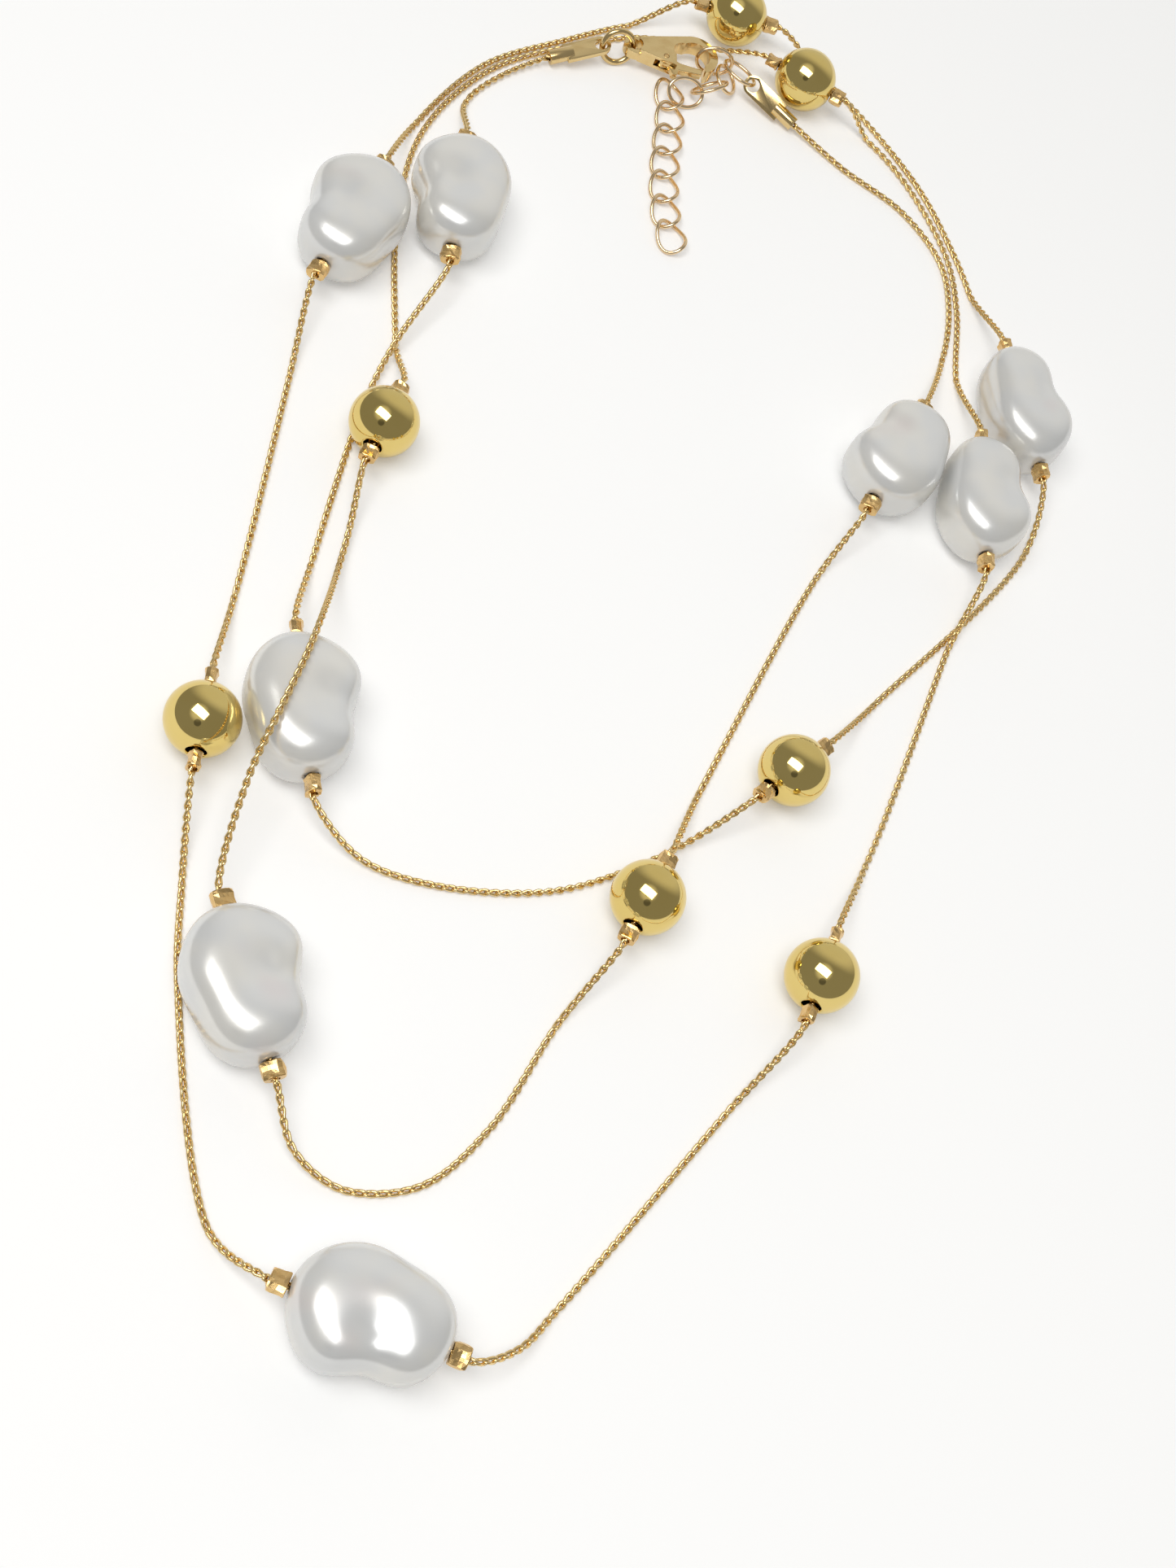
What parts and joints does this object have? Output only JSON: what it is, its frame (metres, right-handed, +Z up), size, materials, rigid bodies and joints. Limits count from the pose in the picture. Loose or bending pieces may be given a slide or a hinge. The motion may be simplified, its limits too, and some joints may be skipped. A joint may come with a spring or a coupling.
{
  "type": "pearl necklace",
  "caption": "Long fine gold chain laid down in laps, strung with white moulded pearls and polished gold balls between crimp tubes, closed by a lobster clasp with an extender",
  "frame": {"origin": "on the table, under the middle of the laid-out necklace", "axes": "+Y along the layout from the lowest pearl to the clasp, +X to the right of it, +Z up from the table"},
  "size_m": [0.1096, 0.1804, 0.0097],
  "materials": {
    "chain_gold": "bright fine chain, gold plated",
    "polished_gold": "mirror polished pale gold",
    "dull_gold": "crushed, satin gold",
    "clasp_gold": "polished gold",
    "rose_gold": "polished rosy gold wire",
    "pearl": "pearl lustre coat on moulded plastic"
  },
  "bodies": {
    "strand": {"chain": "chain_gold", "crimps_pearl_1": "dull_gold", "crimps_pearl_2": "dull_gold", "crimps_pearl_3": "dull_gold", "crimps_pearl_4": "dull_gold", "crimps_pearl_5": "dull_gold", "crimps_pearl_6": "dull_gold", "crimps_pearl_7": "dull_gold", "crimps_pearl_8": "dull_gold", "crimps_ball_1": "dull_gold", "crimps_ball_2": "dull_gold", "crimps_ball_3": "dull_gold", "crimps_ball_4": "dull_gold", "crimps_ball_5": "dull_gold", "crimps_ball_6": "dull_gold", "crimps_ball_7": "dull_gold", "tag_left": "clasp_gold", "tag_right": "clasp_gold"},
    "pearl_1_body": {"pearl_1": "pearl"},
    "pearl_2_body": {"pearl_2": "pearl"},
    "pearl_3_body": {"pearl_3": "pearl"},
    "pearl_4_body": {"pearl_4": "pearl"},
    "pearl_5_body": {"pearl_5": "pearl"},
    "pearl_6_body": {"pearl_6": "pearl"},
    "pearl_7_body": {"pearl_7": "pearl"},
    "pearl_8_body": {"pearl_8": "pearl"},
    "ball_1_body": {"ball_1": "polished_gold"},
    "ball_2_body": {"ball_2": "polished_gold"},
    "ball_3_body": {"ball_3": "polished_gold"},
    "ball_4_body": {"ball_4": "polished_gold"},
    "ball_5_body": {"ball_5": "polished_gold"},
    "ball_6_body": {"ball_6": "polished_gold"},
    "ball_7_body": {"ball_7": "polished_gold"},
    "jump_ring_body": {"jump_ring": "clasp_gold"},
    "clasp": {"clasp_body": "clasp_gold", "clasp_pin": "dull_gold", "clasp_spring": "dull_gold"},
    "lever": {"clasp_lever": "clasp_gold"},
    "link_1_body": {"link_1": "rose_gold"},
    "link_2_body": {"link_2": "rose_gold"},
    "link_3_body": {"link_3": "rose_gold"},
    "link_4_body": {"link_4": "rose_gold"},
    "link_5_body": {"link_5": "rose_gold"},
    "link_6_body": {"link_6": "rose_gold"},
    "link_7_body": {"link_7": "rose_gold"},
    "link_8_body": {"link_8": "rose_gold"},
    "link_9_body": {"link_9": "rose_gold"},
    "link_10_body": {"link_10": "rose_gold"},
    "link_11_body": {"link_11": "rose_gold"},
    "link_12_body": {"link_12": "rose_gold"}
  },
  "joints": [
    {"name": "pearl_1_roll", "type": "hinge", "parent": "strand", "child": "pearl_1_body", "pos_m": [0.03112, 0.01804, 0.0043], "axis": [-0.515, -0.8572, 0], "continuous": true},
    {"name": "pearl_2_roll", "type": "hinge", "parent": "strand", "child": "pearl_2_body", "pos_m": [-0.04608, -0.05246, 0.0043], "axis": [-0.2756, 0.9613, 0], "continuous": true},
    {"name": "pearl_3_roll", "type": "hinge", "parent": "strand", "child": "pearl_3_body", "pos_m": [0.04182, 0.01314, 0.0043], "axis": [-0.1219, -0.9925, 0], "continuous": true},
    {"name": "pearl_4_roll", "type": "hinge", "parent": "strand", "child": "pearl_4_body", "pos_m": [-0.03478, -0.08426, 0.0043], "axis": [-0.9272, 0.3746, 0], "continuous": true},
    {"name": "pearl_5_roll", "type": "hinge", "parent": "strand", "child": "pearl_5_body", "pos_m": [-0.03478, 0.04284, 0.0043], "axis": [0.4226, 0.9063, 0], "continuous": true},
    {"name": "pearl_6_roll", "type": "hinge", "parent": "strand", "child": "pearl_6_body", "pos_m": [0.04942, 0.02734, 0.0043], "axis": [0.0958, -0.9954, 0], "continuous": true},
    {"name": "pearl_7_roll", "type": "hinge", "parent": "strand", "child": "pearl_7_body", "pos_m": [-0.04048, -0.02206, 0.0043], "axis": [-0.0872, 0.9962, 0], "range_deg": [-12, 8]},
    {"name": "pearl_8_roll", "type": "hinge", "parent": "strand", "child": "pearl_8_body", "pos_m": [-0.02178, 0.04824, 0.0043], "axis": [0.1392, 0.9903, 0], "continuous": true},
    {"name": "ball_1_spin", "type": "hinge", "parent": "strand", "child": "ball_1_body", "pos_m": [-0.00478, -0.04106, 0.004], "axis": [-0.5, -0.866, 0], "continuous": true},
    {"name": "ball_2_spin", "type": "hinge", "parent": "strand", "child": "ball_2_body", "pos_m": [-0.03138, 0.01474, 0.004], "axis": [0.3746, 0.9272, 0], "continuous": true},
    {"name": "ball_3_spin", "type": "hinge", "parent": "strand", "child": "ball_3_body", "pos_m": [0.02601, 0.07684, 0.004], "axis": [0.8829, -0.4695, 0], "continuous": true},
    {"name": "ball_4_spin", "type": "hinge", "parent": "strand", "child": "ball_4_body", "pos_m": [0.01372, -0.04886, 0.004], "axis": [-0.4226, -0.9063, 0], "continuous": true},
    {"name": "ball_5_spin", "type": "hinge", "parent": "strand", "child": "ball_5_body", "pos_m": [-0.05078, -0.02416, 0.004], "axis": [0.1564, 0.9877, 0], "continuous": true},
    {"name": "ball_6_spin", "type": "hinge", "parent": "strand", "child": "ball_6_body", "pos_m": [0.01732, 0.08624, 0.004], "axis": [0.9848, -0.1736, 0], "continuous": true},
    {"name": "ball_7_spin", "type": "hinge", "parent": "strand", "child": "ball_7_body", "pos_m": [0.01322, -0.02506, 0.004], "axis": [-0.788, -0.6157, 0], "continuous": true},
    {"name": "jump_ring_swing", "type": "hinge", "parent": "strand", "child": "jump_ring_body", "pos_m": [-0.00148, 0.07835, 0.0024], "axis": [0.9991, 0.0432, 0], "range_deg": [-4, 4]},
    {"name": "clasp_swing", "type": "hinge", "parent": "jump_ring_body", "child": "clasp", "pos_m": [0.00313, 0.079, 0.0024], "axis": [0.9986, -0.0523, 0], "range_deg": [-6, 3]},
    {"name": "clasp_lever_hinge", "type": "hinge", "parent": "clasp", "child": "lever", "pos_m": [0.00706, 0.07749, 0.0024], "axis": [0, 0, 1], "range_deg": [0, 15], "stiffness_Nm_per_rad": 0.00005, "springref_deg": -11.46},
    {"name": "link_1_swing", "type": "hinge", "parent": "strand", "child": "link_1_body", "pos_m": [0.01921, 0.07583, 0.0024], "axis": [0.6691, -0.7431, 0], "range_deg": [-2, 0]},
    {"name": "link_2_swing", "type": "hinge", "parent": "link_1_body", "child": "link_2_body", "pos_m": [0.01644, 0.0789, 0.0024], "axis": [0.9986, -0.0523, 0], "range_deg": [-3, 0]},
    {"name": "link_3_swing", "type": "hinge", "parent": "link_2_body", "child": "link_3_body", "pos_m": [0.01658, 0.07898, 0.0014], "axis": [0, 0, 1], "range_deg": [-1, 4]},
    {"name": "link_4_swing", "type": "hinge", "parent": "link_3_body", "child": "link_4_body", "pos_m": [0.01514, 0.07535, 0.0014], "axis": [0, 0, 1], "range_deg": [-1, 10]},
    {"name": "link_5_swing", "type": "hinge", "parent": "link_4_body", "child": "link_5_body", "pos_m": [0.01161, 0.07393, 0.0014], "axis": [0, 0, 1], "range_deg": [-2, 10]},
    {"name": "link_6_swing", "type": "hinge", "parent": "link_5_body", "child": "link_6_body", "pos_m": [0.00785, 0.07542, 0.0008], "axis": [0, 0, 1], "range_deg": [-5, 2]},
    {"name": "link_7_swing", "type": "hinge", "parent": "link_6_body", "child": "link_7_body", "pos_m": [0.00791, 0.07147, 0.0008], "axis": [0, 0, 1], "range_deg": [-12, 12]},
    {"name": "link_8_swing", "type": "hinge", "parent": "link_7_body", "child": "link_8_body", "pos_m": [0.00743, 0.06755, 0.0008], "axis": [0, 0, 1], "range_deg": [-12, 12]},
    {"name": "link_9_swing", "type": "hinge", "parent": "link_8_body", "child": "link_9_body", "pos_m": [0.00668, 0.06367, 0.0008], "axis": [0, 0, 1], "range_deg": [-12, 12]},
    {"name": "link_10_swing", "type": "hinge", "parent": "link_9_body", "child": "link_10_body", "pos_m": [0.00613, 0.05976, 0.0008], "axis": [0, 0, 1], "range_deg": [-12, 12]},
    {"name": "link_11_swing", "type": "hinge", "parent": "link_10_body", "child": "link_11_body", "pos_m": [0.00579, 0.05583, 0.0008], "axis": [0, 0, 1], "range_deg": [-12, 12]},
    {"name": "link_12_swing", "type": "hinge", "parent": "link_11_body", "child": "link_12_body", "pos_m": [0.00585, 0.05188, 0.0008], "axis": [0, 0, 1], "range_deg": [-12, 12]}
  ]
}
